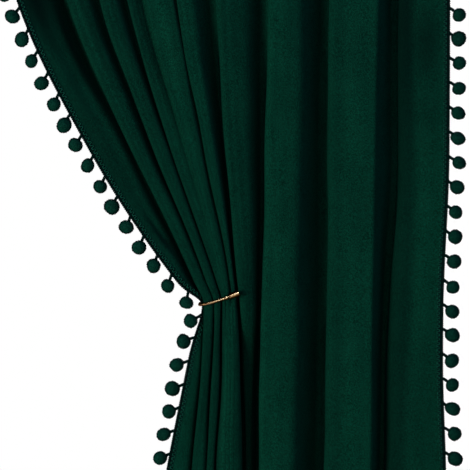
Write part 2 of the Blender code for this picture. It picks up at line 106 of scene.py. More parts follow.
# How wide each face is
FACE_WIDTHS = (
    ("leading", 59, 55, 57.5, 15, 0.2, 16.2, 37.5, 51),
    ("first", 38, 41, 32.5, 19.2, 13.1, 16.5, 23.9, 27.2),
    ("second", 31, 32, 28.7, 13.5, 10.4, 12.6, 13.3, 18),
    ("third", 21, 19, 21.5, 7.4, 4.5, 4.5, 8.5, 12),
    ("fourth", 46, 51.5, 27.5, 9, 5, 5, 7, 10),
    ("fifth", 30, 30, 22.2, 6.3, 5.7, 10, 16, 15.5),
    ("sixth", 56, 56.5, 49.5, 32.5, 27, 19, 9, 4),
    ("seventh", 57, 60, 61.5, 63.5, 65, 66, 64, 65),
    ("eighth", 84.5, 89.5, 88, 85, 84.5, 86, 87, 88),
    ("trailing", 81, 87, 86, 88, 89.5, 94, 103.5, 106),
)

# Length of cloth from the middle of each fold's face to the middle of the next.  The first row counts
# from the leading edge itself and the last to the trailing edge itself.
VALLEY_CLOTH = (
    ("leading", 169.5, 188, 141, 122.5, 120.5, 120, 128.5, 130.5),
    ("first", 110, 115.5, 114, 118, 119.5, 120, 122, 124),
    ("second", 98.5, 103.5, 107, 121, 125, 124.5, 120.5, 124),
    ("third", 86.6, 67.6, 39.6, 12.9, 9.4, 11.6, 15.9, 19.9),
    ("fourth", 75, 70.7, 68.1, 51.1, 11.2, 14.2, 19.4, 22),
    ("fifth", 154.5, 158.5, 186.5, 202, 221.5, 202, 186, 178),
    ("sixth", 183.5, 178, 198, 205.5, 216.5, 212, 208.5, 208.5),
    ("seventh", 231.6, 227.4, 239.7, 244.5, 246.9, 257.3, 261.2, 260.2),
    ("eighth", 250.8, 250.8, 266.1, 282.5, 289.5, 298.4, 298, 292.9),
)

# How far the start of each face lies behind the front plane
START_SETBACKS = (
    ("leading", 0, 0, 0, 2, 15, 6, 4, 4),
    ("first", 4, 2, 0, 2, 5, 1, 0, 0),
    ("second", 0, 2, 1, 1, 0, 0, 2, 3),
    ("third", 8, 4, 4, 3, 1, 8, 9, 9),
    ("fourth", 4, 3, 0, 2, 2, 2, 1.6, 1.6),
    ("fifth", 5, 2, 1, 4, 4, 0.8, 0.6, 0.8),
    ("sixth", 0, 0, 0, 2, 3, 30, 48, 46),
    ("seventh", 4, 2, 0, 0, 0, 0, 0, 0),
    ("eighth", 4, 7, 6, 6, 6, 5, 5, 6),
    ("trailing", 8, 18, 20, 18, 18, 20, 20, 18),
)

# How far the end of each face lies behind the front plane
END_SETBACKS = (
    ("leading", 20, 24, 14, 8, 22, 8, 7, 7),
    ("first", 6, 9, 6, 5, 2, 4, 4, 4),
    ("second", 7, 8, 6, 3, 2, 3, 3, 4),
    ("third", 12, 12, 6, 2, 1, 5, 4, 4),
    ("fourth", 2, 3, 2, 3, 3, 0.8, 0.6, 0.8),
    ("fifth", 5, 2, 2, 5, 6, 6, 8, 10),
    ("sixth", 4, 14, 14, 13, 12, 34, 50, 48),
    ("seventh", 2, 3, 3, 3, 3, 3, 3, 3),
    ("eighth", 4, 0, 0, 0, 0, 0, 0, 0),
    ("trailing", 6, 2, 2, 2, 2, 3, 2, 4),
)

# Creases and soft hollows pressed into single faces.  Each runs straight from a top point to a low
# point, is deepest half way along and fades out at both ends; a depth below 0 is a ridge.
CREASE_COLUMNS = ("fold", "x_top", "drop_top", "x_low", "drop_low", "depth", "width")
CREASES = (
    ("leading", -108, 884, -34, 992, 6.5, 6.0),
    ("leading", -262, 560, -168, 770, 1.6, 12.0),
    ("first", -196, 640, -122, 800, 0.8, 6.0),
    ("seventh", 152, 560, 148, 800, 1.0, 10.0),
    ("seventh", 168, 820, 160, 1290, -0.9, 12.0),
    ("eighth", 262, 520, 268, 760, 1.1, 10.0),
    ("eighth", 296, 700, 288, 1010, 1.0, 9.0),
    ("eighth", 266, 1010, 272, 1340, 0.9, 11.0),
    ("trailing", 404, 540, 410, 660, 1.8, 13.0),
    ("trailing", 424, 650, 414, 860, 1.3, 12.0),
    ("trailing", 396, 940, 398, 1230, 2.2, 14.0),
    ("trailing", 424, 1050, 428, 1250, 1.1, 10.0),
)

# How strongly painted shade, laid on as brushed nap, darkens the left and the right of each face,
# by the top and from the hook down, and along the very edge of its left shoulder
PAINTED_SHADE_COLUMNS = ("fold", "left_top", "right_top", "left_low", "right_low", "edge")
PAINTED_SHADE_SIDES = (
    ("leading", 0.8, 0.15, 0.05, 0.15, 0.4),
    ("first", 0.2, 0.5, 0.2, 0.1, 0.4),
    ("second", 0.2, 0.35, 0.3, 0.2, 0.4),
    ("third", 0.2, 0.6, 0.5, 0.3, 0.4),
    ("fourth", 0.3, 0.25, 0.35, 0.3, 0.0),
    ("fifth", 0.3, 0.25, 0.35, 0.2, 0.0),
    ("sixth", 0.0, 0.1, 0.2, 0.35, 0.3),
    ("seventh", 0.05, 0.1, 0.0, 0.05, 0.1),
    ("eighth", 0.3, 0.0, 0.3, 0.0, 0.2),
    ("trailing", 0.9, 0.0, 0.6, 0.0, 0.4),
)
PAINTED_SHADE_TOP = 500.0
PAINTED_SHADE_LOW = 1000.0
PAINTED_SHADE_EDGE_REACH = 8.0

# Where the painted shade fades in or out: as shares of the face's width, and before its left shoulder in mm
LEFT_FADES_OUT = (-0.05, 0.45)
RIGHT_FADES_IN = (0.35, 0.95)
RIGHT_FADES_OUT = (1.1, 1.6)
LEFT_LEG_FADES_IN = (-50.0, -25.0)
SHOULDER_FADES_IN = (-30.0, -12.0)

# Single patches of painted shade, laid on as brushed nap: how far from the face's left shoulder and
# how far down, with the reach of each, and how strongly
PATCH_COLUMNS = ("fold", "from_left", "reach_across", "drop", "reach_down", "share")
PAINTED_SHADE_PATCHES = (
    ("leading", 30, 46, 490, 125, 1.0),
    ("leading", 66, 12, 600, 130, 0.9),
    ("leading", 14, 36, 790, 190, 0.55),
    ("seventh", 22, 40, 685, 55, 0.22),
    ("seventh", 25, 40, 895, 60, 0.2),
    ("eighth", 45, 45, 615, 65, 0.2),
    ("eighth", 35, 45, 880, 60, 0.22),
    ("trailing", 32, 34, 590, 85, 0.75),
    ("trailing", 30, 40, 700, 110, 0.35),
    ("trailing", 30, 40, 1250, 180, 0.3),
)

# Grid of the sheet
FINE_DROP = 4.0
CORNER_PIECES = 5
LEG_PIECES = 2
FLOOR_PIECES = 2
ROW_STRETCHES = ((0.0, 900.0, 15.0), (900.0, 1180.0, 6.5))
LEVEL_DROP = 1180.0
LOWER_ROWS = 30

# Small unevenness of the hung cloth
UNEVEN_SEED = 11
UNEVEN_WAVES = 9
UNEVEN_HEIGHT = 0.42
UNEVEN_ACROSS = (70.0, 240.0)
UNEVEN_DOWN = (160.0, 620.0)
CALM_EDGE = 30.0
GATHER_DROP = 1074.0
GATHER_PLEAT = 6.5
GATHER_HEIGHT = 0.35
GATHER_REACH = 46.0
GATHER_FOLDS = 6

# Pom-pom trim.  After number caught_after the hook takes up the length caught, so that the next
# ball hangs that much further down.
TAPE_WIDTH = 6.0
SEAM_GAP = 0.3
TAPE_LAP = 4.8
TAPE_LIFT = 1.0
TAPE_THICKNESS = 0.5
TAPE_EDGE_MARGIN = 0.8
TAPE_STEP = 8.0
LOOP_MIDDLE = -2.0
LOOP_SWING = 2.3
LOOP_SHARPNESS = 2.5
LOOP_PITCH = 8.0
LOOP_RADIUS = 0.85
LOOP_STEPS = 16
LOOP_LIFT = 0.55
CROSSING_LIFT = 0.4
CORD_RADIUS = 0.9
OUTER_CORD_RADIUS = 1.6
OUTER_CORD_SWING = 1.2
CORD_WAVE = 4.0
CORD_STEPS = 6
CORD_LIFT = 0.3
CORD_SIDES = 6
STEM_THICKNESS = 6.4
PLY_RADIUS = 1.95
POM_RADIUS = 13.4
POM_OUT = 17.0
POM_DOWN = 12.0
POM_UNEVENNESS = 1.6
SIZE_UNEVENNESS = 0.5
HANG_LEAN = 0.3
LEADING_TRIM = {"first": 15.6, "pitch": 43.7, "count": 36, "caught_after": 26, "caught": 15.5, "seed": 3}
TRAILING_TRIM = {"first": 22.0, "pitch": 45.7, "count": 35, "caught_after": 0, "caught": 0.0, "seed": 8}
CORE_RINGS = 12
CORE_SPOKES = 18
CORE_SHARE = 0.97
BALL_STRETCH = 0.08
LUMP_WAVES = 4
LUMP_SLANT = 2.2
LUMP_CLOSENESS = 1.6
LUMP_HEIGHT = 0.026
TUFTS = 260
TUFT_WIDTH = 1.15
TUFT_WIDTHS = (0.8, 1.25)
TUFT_REACHES = (1.0, 1.07)
TUFT_SCATTER = 0.045
TUFT_SPREAD = 0.10
TUFT_FOOT = 0.97
STEM_TURNS = 1.5
STEM_POINTS = 12
STEM_FOOT = 0.8
STEM_SAG = 0.7

# The cores' and the stems' random draws follow the trim's own seed by these
CORE_SEED = 100
STEM_SEED = 200

# Holdback hook.  HOOK_CLOTH is the thickness of cloth that the hook leaves room for.
ROD_RADIUS = 3.0
ROD_SIDES = 28
HOOK_GAP = 0.4
HOOK_CLOTH = 2.0
BEND_X = 3.0
BEND_DROP = 1074.0
BEND_RADIUS = 16.0
POST_BEND_RADIUS = 12.0
BACK_LEG_BACK = 80.0
POST_X = 45.0
ARM_END_X = 57.0
ARM_REACH = 74.0
ARM_RISE = 23.0
ARM_CURVE = 1.36
ARM_POINTS = 24
BEND_POINTS = 20
WALL_Y = 95.0
PLATE_RADIUS = 25.0
PLATE_THICKNESS = 4.0
PLATE_EASE = 1.2
PLATE_SIDES = 72
COLLAR_X = 52.5
COLLAR_RADIUS = 4.6
COLLAR_LENGTH = 3.2
COLLAR_EASE = 0.7
FINIAL_RADIUS = 5.5
FINIAL_LENGTH = 20.0
FINIAL_EASE = 0.9
FINIAL_GROOVE = 0.35
FINIAL_GROOVES = (2.6, FINIAL_LENGTH - 3.2)
TURNED_SIDES = 48
SHARP_ANGLE = math.radians(38)
PART_GAP = 0.3

# Colours
VELVET_SHADE = (0.0004, 0.0055, 0.0028)
VELVET_LIGHT = (0.0007, 0.0086, 0.0043)
VELVET_TIPS = (0.0008, 0.0200, 0.0102)
# Painted shade on the velvet, laid on as brushed nap
VELVET_PAINTED_SHADE = (0.0003, 0.0026, 0.0018)
VELVET_SHEEN = (0.05, 1.0, 0.7, 1.0)
YARN_SHEEN = (0.10, 1.0, 0.7, 1.0)
# Painted shade round each pom-pom's outline, where the ball turns from the eye
POM_RIM_SHADE = (0.0002, 0.0016, 0.0011)
BRASS_BRIGHT = (0.84, 0.65, 0.40)
BRASS_BROWN = (0.50, 0.28, 0.11)
# Painted shade where the brass turns from the eye, for the dark things it would mirror
BRASS_PAINTED_DARK_SIDE = (0.11, 0.046, 0.007)
# Painted shade by the bend, where the arm loses its highlight
BRASS_SHADE_BY_BEND = (0.34, 0.20, 0.11)
BRASS_EDGE_TINT = (0.6, 0.28, 0.08, 1.0)
FLOOR_PAINT = (0.74, 0.64, 0.40, 1.0)

# A row for each yarn of the trim; scale is its flecks a metre, and rim a painted shade round a ball's
# outline
YARN_COLUMNS = ("name", "dark", "light", "scale", "rim")
YARNS = (
    ("gimp_yarn", (0.0010, 0.0130, 0.0070), (0.0036, 0.0330, 0.0190), 260.0, None),
    ("pompom_yarn", (0.0004, 0.0065, 0.0038), (0.0014, 0.0150, 0.0085), 300.0, POM_RIM_SHADE),
    ("cord_yarn", (0.0003, 0.0014, 0.0012), (0.0008, 0.0046, 0.0034), 500.0, None),
)

# Stage, in metres.  Each of the surroundings and lights either falls on the cloth or shows in metal.
STAGE_MIDDLE = np.array((0.05, -0.03, -0.95))
SURROUND_COLUMNS = ("shows_in", "colour", "strength")
SURROUNDINGS = (
    ("cloth", (0.8, 1.0, 2.1), 0.6),
    ("metal", (1.0, 0.85, 0.6), 0.05),
)
LIGHT_COLUMNS = ("name", "way", "distance", "size", "strength", "shows_in")
LIGHTS = (
    ("window_light", (-0.66, -0.66, -0.04), 3.0, 1.1, 2.15, "cloth"),
    ("front_fill", (0.06, -0.95, -0.14), 2.4, 0.7, 0.2, "cloth"),
    ("metal_card", (0.1, -1.0, 0.40), 3.0, 1.2, 0.5, "metal"),
)
FLOOR_Z = -1.63
FLOOR_SPAN = (-2.4, 2.6, -2.6, 1.6)
CAMERA_PLACE = (0.0685, -0.03 - 3.26, -0.945)
CAMERA_LENS = 135.0
CAMERA_REACH = 50.0


# Cloth ------------------------------------------------------------------------------------------


def table_column(table, columns, names):
    """The named columns of a table as one array, a row for each of its rows."""
    picks = [columns.index(name) for name in names]
    return np.array([[row[pick] for pick in picks] for row in table], dtype=float)


def between_sections(values, drops):
    """Carries section values (rows, sections) smoothly down the drape to (rows, drops).

    A cubic runs between each two sections.  Its slope at a section is the harmonic mean of the
    slopes on the two sides, and level where they point opposite ways, so nothing overshoots.
    """
    spans = np.diff(SECTION_DROPS)
    slopes = np.diff(values, axis=1) / spans
    above, below = slopes[:, :-1], slopes[:, 1:]
    agree = above * below > 0
    mean = 2 * above * below / np.where(agree, above + below, 1.0)
    slope_at = np.hstack([slopes[:, :1], np.where(agree, mean, 0.0), slopes[:, -1:]])
    k = np.clip(np.searchsorted(SECTION_DROPS, drops, side="right") - 1, 0, len(spans) - 1)
    s = (drops - SECTION_DROPS[k]) / spans[k]
    start = (1 + 2 * s) * (1 - s) ** 2 * values[:, k] + s * (1 - s) ** 2 * spans[k] * slope_at[:, k]
    end = s**2 * (3 - 2 * s) * values[:, k + 1] - s**2 * (1 - s) * spans[k] * slope_at[:, k + 1]
    return start + end


def section_corners(drops):
    """Corners (drops, corners, 2) of the cross-section at each drop, as x and back.

    Each face has two shoulders, and each valley a floor behind its mouth.  The floor lies as deep
    as the cloth lets it: the floor and its two legs are as long as the cloth that the faces leave.
    """
    starts = table_column(FACE_STARTS, SECTION_COLUMNS, SECTIONS)
    widths = table_column(FACE_WIDTHS, SECTION_COLUMNS, SECTIONS)
    left = between_sections(starts, drops)
    right = between_sections(starts + widths, drops)
    left_back = between_sections(table_column(START_SETBACKS, SECTION_COLUMNS, SECTIONS), drops)
    right_back = between_sections(table_column(END_SETBACKS, SECTION_COLUMNS, SECTIONS), drops)
    cloth = between_sections(table_column(VALLEY_CLOTH, SECTION_COLUMNS, SECTIONS), drops)
    spread, lean = table_column(FOLDS, FOLD_COLUMNS, ("spread", "lean"))[:-1].T[:, :, None]

    half_face = np.hypot(right - left, right_back - left_back) / 2
    half_face[[0, -1]] *= 2
    mouth = left[1:] - right[:-1]
    spare = cloth - half_face[:-1] - half_face[1:] - mouth
    floor = np.maximum(mouth * spread, np.minimum(NARROWEST_FLOOR, spare))
    legs = cloth - half_face[:-1] - half_face[1:] - floor
    left_run = (mouth - floor) * lean
    right_run = (mouth - floor) * (1 - lean)
    back, rise = right_back[:-1], left_back[1:] - right_back[:-1]
    legs = np.maximum(legs, np.hypot(mouth - floor, rise) + SHALLOWEST_FOLD)
    slope = rise / legs
    even = (legs**2 + left_run**2 - right_run**2 - rise * (2 * back + rise)) / (2 * legs)
    middle = back + even * slope
    reach = middle**2 - (1 - slope**2) * (left_run**2 + back**2 - even**2)
    floor_back = (middle + np.sqrt(np.maximum(reach, 0.0))) / (1 - slope**2)

    shoulders = np.stack([np.stack([left, left_back], -1), np.stack([right, right_back], -1)], 1)
    floor_x = right[:-1] + left_run
    floor_ends = (np.stack([floor_x, floor_back], -1), np.stack([floor_x + floor, floor_back], -1))
    floors = np.stack(floor_ends, 1)
    folds = np.concatenate([shoulders[:-1], floors], axis=1).reshape(-1, len(drops), 2)
    return np.concatenate([folds, shoulders[-1]]).transpose(1, 0, 2)


def largest_roundings():
    """How far each inner corner may be rounded: two shoulders a fold, then its floor's two."""
    shoulders = table_column(FOLDS, FOLD_COLUMNS, ("left_round", "right_round"))
    floors = np.full_like(shoulders, FLOOR_ROUNDING)
    return np.hstack([shoulders, floors]).reshape(-1)[1:-3]


def lay_out_columns():
    """For each column of the grid, which stretch of the section it lies on and how far along it.

    Stretches alternate between straight runs and rounded corners.  A face's run takes the columns
    that its fold asks for; legs, floors and corners take a fixed number each.
    """
    face_columns = table_column(FOLDS, FOLD_COLUMNS, ("columns",))[:, 0].astype(int)
    runs = []
    for pieces in face_columns:
        runs += [pieces, LEG_PIECES, FLOOR_PIECES, LEG_PIECES]
    runs = runs[:-3]
    pieces = np.full(2 * len(runs) - 1, CORNER_PIECES)
    pieces[0::2] = runs
    stretch = np.append(np.repeat(np.arange(len(pieces)), pieces), len(pieces) - 1)
    share = np.append(np.concatenate([np.arange(n) / n for n in pieces]), 1.0)
    return stretch, share


def section_threads(corners, stretch, share):
    """Points (drops, columns, 2) of each column on each section.

    Every stretch is a quadratic curve through three guides: a corner's guides are the points where
    its rounding starts, the corner itself and where it ends; a run's lie in line.  A face bulges
    forward between its shoulders by a crown, less on a narrow face, that rises as the squared sine
    of the way across.
    """
    runs = np.diff(corners, axis=1)
    lengths = np.linalg.norm(runs, axis=2, keepdims=True)
    ways = runs / lengths
    shorter = np.minimum(lengths[:, :-1], lengths[:, 1:])
    reach = np.minimum(shorter * ROUNDING_SHARE, largest_roundings()[:, None])
    inner = corners[:, 1:-1]
    before, after = inner - reach * ways[:, :-1], inner + reach * ways[:, 1:]
    run_start = np.concatenate([corners[:, :1], after], axis=1)
    run_end = np.concatenate([before, corners[:, -1:]], axis=1)
    guides = np.empty((len(corners), 2 * runs.shape[1] - 1, 3, 2))
    guides[:, 0::2] = np.stack([run_start, (run_start + run_end) / 2, run_end], axis=2)
    guides[:, 1::2] = np.stack([before, inner, after], axis=2)
    a, b, c = guides[:, stretch].transpose(2, 0, 1, 3)
    s = share[None, :, None]
    threads = (1 - s) ** 2 * a + 2 * s * (1 - s) * b + s**2 * c
    on_face = stretch % STRETCHES_A_FOLD == 0
    width = np.linalg.norm(c - a, axis=2)
    crown = np.minimum(CROWN_SHARE * width**2 / (width + NARROW_FACE), MOST_CROWN)
    threads[:, :, 1] -= on_face * crown * np.sin(np.pi * share) ** 2
    return threads


def row_drops(threads, fine_drops):
    """Drop of each row at each column, (rows, columns).

    Rows are level down to below the hook.  From there each thread runs on until it has used up the
    panel's drop, so that the hem rises where the threads are drawn aside.
    """
    steps = np.sqrt(FINE_DROP**2 + np.sum(np.diff(threads, axis=0) ** 2, axis=2))
    used = np.vstack([np.zeros(steps.shape[1]), np.cumsum(steps, axis=0)])
    level = int(LEVEL_DROP // FINE_DROP)
    stretch = (used[-1] - used[level]) / (fine_drops[-1] - fine_drops[level])
    hem_drop = fine_drops[level] + (PANEL_DROP - used[level]) / stretch
    upper = np.concatenate([np.arange(*rows) for rows in ROW_STRETCHES])
    upper = np.repeat(upper[:, None], threads.shape[1], axis=1)
    shares = np.linspace(0.0, 1.0, LOWER_ROWS + 1)[:, None]
    return np.vstack([upper, LEVEL_DROP + shares * (hem_drop - LEVEL_DROP)])


def unit(vectors):
    """Vectors scaled to length one."""
    return vectors / np.linalg.norm(vectors, axis=-1, keepdims=True)


def mean_way(points, axis):
    """Direction along one axis of a grid: at each point the mean of the two runs that meet there."""
    runs = unit(np.diff(points, axis=axis))
    first, last = np.take(runs, [0], axis=axis), np.take(runs, [-1], axis=axis)
    return unit(np.concatenate([first, runs], axis=axis) + np.concatenate([runs, last], axis=axis))


def grid_normals(grid):
    """Which way each point of the sheet faces: square to the ways along and across it."""
    normals = unit(np.cross(mean_way(grid, 0), mean_way(grid, 1)))
    normals[0, :, 2] = 0.0
    return unit(normals)


def cloth_lengths(grid):
    """How much cloth lies across from the leading edge, and down from the top, to each point."""
    across = np.linalg.norm(np.diff(grid, axis=1), axis=2)
    down = np.linalg.norm(np.diff(grid, axis=0), axis=2)
    across = np.hstack([np.zeros((len(grid), 1)), np.cumsum(across, axis=1)])
    down = np.vstack([np.zeros((1, grid.shape[1])), np.cumsum(down, axis=0)])
    return across, down


def uneven_heights(across, down):
    """Low waves of several lengths and slants over the cloth, summed."""
    rng = np.random.default_rng(UNEVEN_SEED)
    heights = np.zeros_like(across)
    for _ in range(UNEVEN_WAVES):
        length_across, length_down = rng.uniform(*UNEVEN_ACROSS), rng.uniform(*UNEVEN_DOWN)
        slant, phase = rng.choice((-1.0, 1.0)), rng.uniform(0.0, 2 * np.pi)
        heights += np.sin(2 * np.pi * (across / length_across + slant * down / length_down) + phase)
    return heights * UNEVEN_HEIGHT


def gather_heights(across, drops, fold):
    """Fine pleats across the gathered folds: a sine, fading as a bell above and below the hook."""
    near = np.exp(-(((drops - GATHER_DROP) / GATHER_REACH) ** 2))
    return GATHER_HEIGHT * near * np.sin(2 * np.pi * across / GATHER_PLEAT) * (fold < GATHER_FOLDS)


def crease_heights(x, drops, fold, on_face):
    """Troughs and ridges of the creases: a bell across each, a squared sine along it."""
    heights = np.zeros_like(x)
    for row in CREASES:
        crease = dict(zip(CREASE_COLUMNS, row))
        run_x, run_drop = crease["x_low"] - crease["x_top"], crease["drop_low"] - crease["drop_top"]
        from_x, from_drop = x - crease["x_top"], drops - crease["drop_top"]
        length = math.hypot(run_x, run_drop)
        along = (from_x * run_x + from_drop * run_drop) / length**2
        aside = (from_x * run_drop - from_drop * run_x) / length
        fade = np.sin(np.pi * np.clip(along, 0.0, 1.0)) ** 2
        mine = on_face & (fold == FOLD_NAMES.index(crease["fold"]))
        heights -= crease["depth"] * fade * np.exp(-((aside / crease["width"]) ** 2)) * mine
    return heights


def ease(values, low, high):
    """Rises smoothly from 0 at low to 1 at high."""
    s = np.clip((values - low) / (high - low), 0.0, 1.0)
    return s**2 * (3 - 2 * s)


def painted_shade_shares(across, drops, stretch, fold):
    """How strongly painted shade darkens the cloth, 0 to 1: the sides of each face, then single patches as
    bells.
    """
    faces = STRETCHES_A_FOLD * np.arange(len(FOLDS))
    left = np.searchsorted(stretch, faces)
    right = np.minimum(np.searchsorted(stretch, faces + 1), len(stretch) - 1)
    from_left = across - across[:, left[fold[0]]]
    place = from_left / (across[:, right[fold[0]]] - across[:, left[fold[0]]])
    low = ease(drops, PAINTED_SHADE_TOP, PAINTED_SHADE_LOW)
    sides = table_column(PAINTED_SHADE_SIDES, PAINTED_SHADE_COLUMNS, PAINTED_SHADE_COLUMNS[1:])[fold[0]].T[:, None, :]
    left_share = sides[0] * (1 - low) + sides[2] * low
    right_share = sides[1] * (1 - low) + sides[3] * low
    shares = left_share * (1 - ease(place, *LEFT_FADES_OUT)) * ease(from_left, *LEFT_LEG_FADES_IN)
    shoulder = (1 - ease(from_left, 0.0, PAINTED_SHADE_EDGE_REACH)) * ease(from_left, *SHOULDER_FADES_IN)
    shares = np.maximum(shares, sides[4] * shoulder)
    right_fade = right_share * ease(place, *RIGHT_FADES_IN) * (1 - ease(place, *RIGHT_FADES_OUT))
    shares = np.maximum(shares, right_fade)
    for row in PAINTED_SHADE_PATCHES:
        patch = dict(zip(PATCH_COLUMNS, row))
        across_it = (from_left - patch["from_left"]) / patch["reach_across"]
        down_it = (drops - patch["drop"]) / patch["reach_down"]
        mine = fold == FOLD_NAMES.index(patch["fold"])
        shares = np.maximum(shares, patch["share"] * np.exp(-(across_it**2) - down_it**2) * mine)
    return shares


def hang_cloth():
    """The middle of the sheet as a grid (rows, columns, 3), its lengths across and down, and its painted
    shade.
    """
    stretch, share = lay_out_columns()
    fine_drops = np.arange(0.0, SECTION_DROPS[-1] + FINE_DROP / 2, FINE_DROP)
    threads = section_threads(section_corners(fine_drops), stretch, share)
    drops = row_drops(threads, fine_drops)
    k = np.minimum((drops / FINE_DROP).astype(int), len(fine_drops) - 2)
    s = (drops / FINE_DROP - k)[:, :, None]
    column = np.arange(threads.shape[1])[None, :]
    plan = (1 - s) * threads[k, column] + s * threads[k + 1, column]
    grid = np.dstack([plan[:, :, 0], FRONT_PLANE_Y + plan[:, :, 1], -drops])
    across, down = cloth_lengths(grid)
    # A face's own run is the first stretch of its fold, between a corner before it and one after it
    fold = np.clip((stretch + 3) // STRETCHES_A_FOLD, 0, len(FOLDS) - 1)[None, :]
    in_fold = (stretch % STRETCHES_A_FOLD)[None, :]
    on_face = (in_fold < 2) | (in_fold == STRETCHES_A_FOLD - 1)
    edge_fade = np.clip(np.minimum(across, across[:, -1:] - across) / CALM_EDGE, 0.0, 1.0)
    heights = uneven_heights(across, down) * edge_fade
    creases = crease_heights(grid[:, :, 0], drops, fold, on_face)
    heights += gather_heights(across, drops, fold) + creases
    # Painted shade over the sheet, as shares from 0 to 1
    nap_and_painted_shade = painted_shade_shares(across, drops, stretch, fold)
    return grid + grid_normals(grid) * heights[:, :, None], across, down, nap_and_painted_shade


# Meshes -----------------------------------------------------------------------------------------


def quads_over(indices, wrap=False):
    """Quads over a grid (..., rows, columns) of point numbers; wrap closes each row into a ring."""
    following = np.roll(indices, -1, axis=-1) if wrap else indices[..., 1:]
    indices = indices if wrap else indices[..., :-1]
    corners = [indices[..., :-1, :], following[..., :-1, :], following[..., 1:, :], indices[..., 1:, :]]
    return np.stack(corners, axis=-1).reshape(-1, 4)


class Shape:
    """Points and faces gathered from several surfaces before they become one mesh."""

    def __init__(self):
        self.points, self.faces, self.lengths, self.count = [], [], [], 0

    def add(self, points, lengths=None):
        """Takes points (..., 3) in mm with their lengths (..., 2) along the piece, and numbers them."""
        flat = points.reshape(-1, 3)
        self.points.append(flat)
        self.lengths.append(np.zeros((len(flat), 2)) if lengths is None else lengths.reshape(-1, 2))
        numbers = self.count + np.arange(len(flat)).reshape(points.shape[:-1])
        self.count += len(flat)
        return numbers

    def join(self, faces):
        """Takes faces (count, corners) as rows of point numbers."""
        self.faces += faces.tolist()

    def make(self, name, material, smooth=True):
        """Makes the mesh object, in metres, with its lengths as the UV map."""
        mesh = bpy.data.meshes.new(name)
        mesh.from_pydata((np.concatenate(self.points) * MM).tolist(), [], self.faces)
        corner_points = np.empty(len(mesh.loops), dtype=np.int32)
        mesh.loops.foreach_get("vertex_index", corner_points)
        layer = mesh.uv_layers.new(name="lengths")
        layer.data.foreach_set("uv", (np.concatenate(self.lengths)[corner_points] * MM).ravel())
        mesh.materials.append(material)
        if smooth:
            mesh.shade_smooth()
        obj = bpy.data.objects.new(name, mesh)
        bpy.context.scene.collection.objects.link(obj)
        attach(obj, "root")
        return obj


def add_tubes(shape, paths, reference, wide, thick, sides):
    """Closed tubes along paths (tubes, points, 3).

    Each ring is an ellipse, wide across the reference way and thick along it, square to the path;
    flat ends close the tube.  The lengths run along the tube and round it.
    """
    along = mean_way(paths, paths.ndim - 2)
    upward = unit(reference - np.sum(reference * along, axis=-1, keepdims=True) * along)
    sideways = np.cross(along, upward)
    angle = 2 * np.pi * np.arange(sides) / sides
    across = sideways[..., None, :] * np.cos(angle)[:, None] * wide
    over = upward[..., None, :] * np.sin(angle)[:, None] * thick
    steps = np.linalg.norm(np.diff(paths, axis=-2), axis=-1)
    run = np.concatenate([np.zeros((*steps.shape[:-1], 1)), np.cumsum(steps, axis=-1)], axis=-1)
    round_it = np.broadcast_to(angle * (wide + thick) / 2, (*run.shape, sides))
    lengths = np.stack([np.broadcast_to(run[..., None], round_it.shape), round_it], axis=-1)
    numbers = shape.add(paths[..., None, :] + across + over, lengths)
    shape.join(quads_over(numbers, wrap=True))
    shape.join(numbers[..., 0, ::-1].reshape(-1, sides))
    shape.join(numbers[..., -1, :].reshape(-1, sides))


def make_panel(grid, across, down, nap_and_painted_shade, material):
    """The panel as one closed thin sheet: the grid moved out to its face and its back, and a rim."""
    shape = Shape()
    half = grid_normals(grid) * CLOTH_THICKNESS / 2
    lengths = np.dstack([across, down])
    face = shape.add(grid + half, lengths)
    back = shape.add(grid - half, lengths)
    shape.join(quads_over(face.T))
    shape.join(quads_over(back.T)[:, ::-1])
    rim = np.concatenate([face[:-1, 0], face[-1, :-1], face[:0:-1, -1], face[0, :0:-1]])
    behind = rim + (back[0, 0] - face[0, 0])
    shape.join(np.stack([rim, behind, np.roll(behind, -1), np.roll(rim, -1)], axis=-1))
    panel = shape.make("velvet_panel", material)
    # The painted shade's shares, stored for the velvet's colour on both sides of the sheet
    layer = panel.data.attributes.new(name="nap_and_painted_shade", type="FLOAT", domain="POINT")
    layer.data.foreach_set("value", np.concatenate([nap_and_painted_shade.ravel(), nap_and_painted_shade.ravel()]))
    return panel


# Trim -------------------------------------------------------------------------------------------


def edge_frames(edge, inner, side):
    """Ways at each row of an edge of the sheet: along it, out past it, forward off its face, and hang.

    hang is the way that the pom-poms stand out: along x to the side given, leaning a little to where
    the cloth itself points.
    """
    along = mean_way(edge, 0)
    out = edge - inner
    out = unit(out - np.sum(out * along, axis=1, keepdims=True) * along)
    hang = np.array((side, 0.0, 0.0)) + HANG_LEAN * out
    hang = unit(hang - np.sum(hang * along, axis=1, keepdims=True) * along)
    forward = unit(np.cross(along, out)) * side
    return along, out, forward, hang


def read_along(values, row_at, distances):
    """Row values (rows, 3) read at distances along the edge."""
    return np.stack([np.interp(distances, row_at, values[:, axis]) for axis in range(3)], axis=-1)


class Edge:
    """One side edge of the sheet, ready to be read at any distance down it."""

    def __init__(self, edge, inner, side):
        self.rows = edge
        self.ways = edge_frames(edge, inner, side)
        self.row_at = np.concatenate([[0.0], np.cumsum(np.linalg.norm(np.diff(edge, axis=0), axis=1))])
        self.length = self.row_at[-1]

    def read(self, distances):
        """Points, and the ways along, out, forward and hang, at distances down the edge."""
        found = [read_along(values, self.row_at, distances) for values in (self.rows, *self.ways)]
        return [found[0], *(unit(way) for way in found[1:])]


